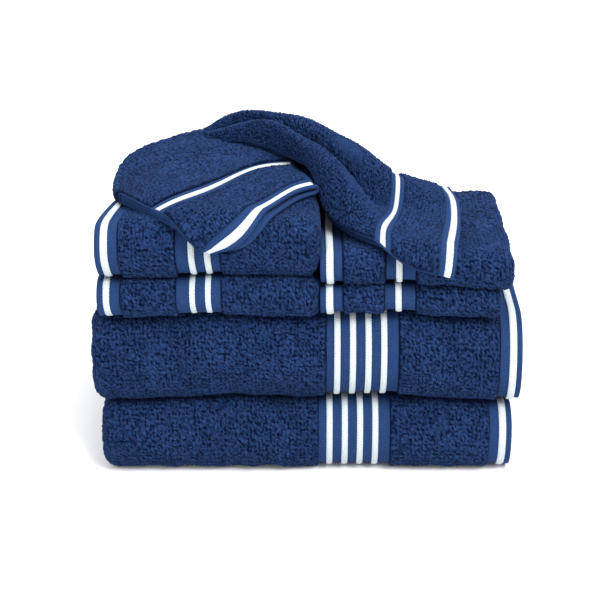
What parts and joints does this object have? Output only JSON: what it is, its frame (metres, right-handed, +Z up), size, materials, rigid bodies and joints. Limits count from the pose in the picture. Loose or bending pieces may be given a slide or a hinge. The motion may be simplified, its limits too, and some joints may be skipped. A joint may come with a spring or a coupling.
{
  "type": "bath towel set",
  "caption": "Stack of folded navy terry towels with white ribbed stripes: bath towels below, hand towels and washcloths side by side above, and washcloths draped on top.",
  "frame": {"origin": "middle of the footprint, on the surface that the stack rests on", "axes": "+X to the right seen from the front, along the folded bath towels; +Y to the back; +Z up"},
  "size_m": [0.333, 0.237, 0.2576],
  "materials": {
    "navy_terry": "looped cotton terry, matt, with smooth woven borders",
    "white_stripe": "ribbed white cotton, matt"
  },
  "bodies": {
    "bath_towel_lower": {"bath_towel_lower": "navy_terry", "bath_towel_lower_hem_stripe": "white_stripe", "bath_towel_lower_border_stripe_1": "white_stripe", "bath_towel_lower_border_stripe_2": "white_stripe", "bath_towel_lower_border_stripe_3": "white_stripe", "bath_towel_lower_border_stripe_4": "white_stripe"},
    "bath_towel_upper": {"bath_towel_upper": "navy_terry", "bath_towel_upper_hem_stripe": "white_stripe", "bath_towel_upper_border_stripe_1": "white_stripe", "bath_towel_upper_border_stripe_2": "white_stripe", "bath_towel_upper_border_stripe_3": "white_stripe", "bath_towel_upper_border_stripe_4": "white_stripe"},
    "hand_towel_lower": {"hand_towel_lower": "navy_terry", "hand_towel_lower_hem_stripe": "white_stripe", "hand_towel_lower_border_stripe_1": "white_stripe", "hand_towel_lower_border_stripe_2": "white_stripe"},
    "hand_towel_upper": {"hand_towel_upper": "navy_terry", "hand_towel_upper_hem_stripe": "white_stripe", "hand_towel_upper_border_stripe_1": "white_stripe", "hand_towel_upper_border_stripe_2": "white_stripe"},
    "folded_washcloth_lower": {"folded_washcloth_lower": "navy_terry", "folded_washcloth_lower_hem_stripe": "white_stripe", "folded_washcloth_lower_border_stripe_1": "white_stripe"},
    "folded_washcloth_upper": {"folded_washcloth_upper": "navy_terry", "folded_washcloth_upper_hem_stripe": "white_stripe", "folded_washcloth_upper_border_stripe_1": "white_stripe"},
    "draped_washcloth_left": {"draped_washcloth_left": "navy_terry", "draped_washcloth_left_hem_stripe": "white_stripe", "draped_washcloth_left_border_stripe_1": "white_stripe"},
    "draped_washcloth_right": {"draped_washcloth_right": "navy_terry", "draped_washcloth_right_hem_stripe": "white_stripe", "draped_washcloth_right_border_stripe_1": "white_stripe"}
  },
  "joints": [
    {"name": "bath_towel_upper_lift", "type": "slide", "parent": "bath_towel_lower", "child": "bath_towel_upper", "axis": [0, 0, 1], "range_m": [0, 0.12]},
    {"name": "hand_towel_lower_lift", "type": "slide", "parent": "bath_towel_upper", "child": "hand_towel_lower", "axis": [0, 0, 1], "range_m": [0, 0.1]},
    {"name": "hand_towel_upper_lift", "type": "slide", "parent": "hand_towel_lower", "child": "hand_towel_upper", "axis": [0, 0, 1], "range_m": [0, 0.1]},
    {"name": "draped_washcloth_left_lift", "type": "slide", "parent": "hand_towel_upper", "child": "draped_washcloth_left", "axis": [0, 0, 1], "range_m": [0, 0.1]},
    {"name": "draped_washcloth_right_lift", "type": "slide", "parent": "draped_washcloth_left", "child": "draped_washcloth_right", "axis": [0, 0, 1], "range_m": [0, 0.12]},
    {"name": "folded_washcloth_lower_slide", "type": "slide", "parent": "bath_towel_upper", "child": "folded_washcloth_lower", "axis": [1, 0, 0], "range_m": [0, 0.17]},
    {"name": "folded_washcloth_upper_slide", "type": "slide", "parent": "folded_washcloth_lower", "child": "folded_washcloth_upper", "axis": [1, 0, 0], "range_m": [0, 0.17]}
  ]
}
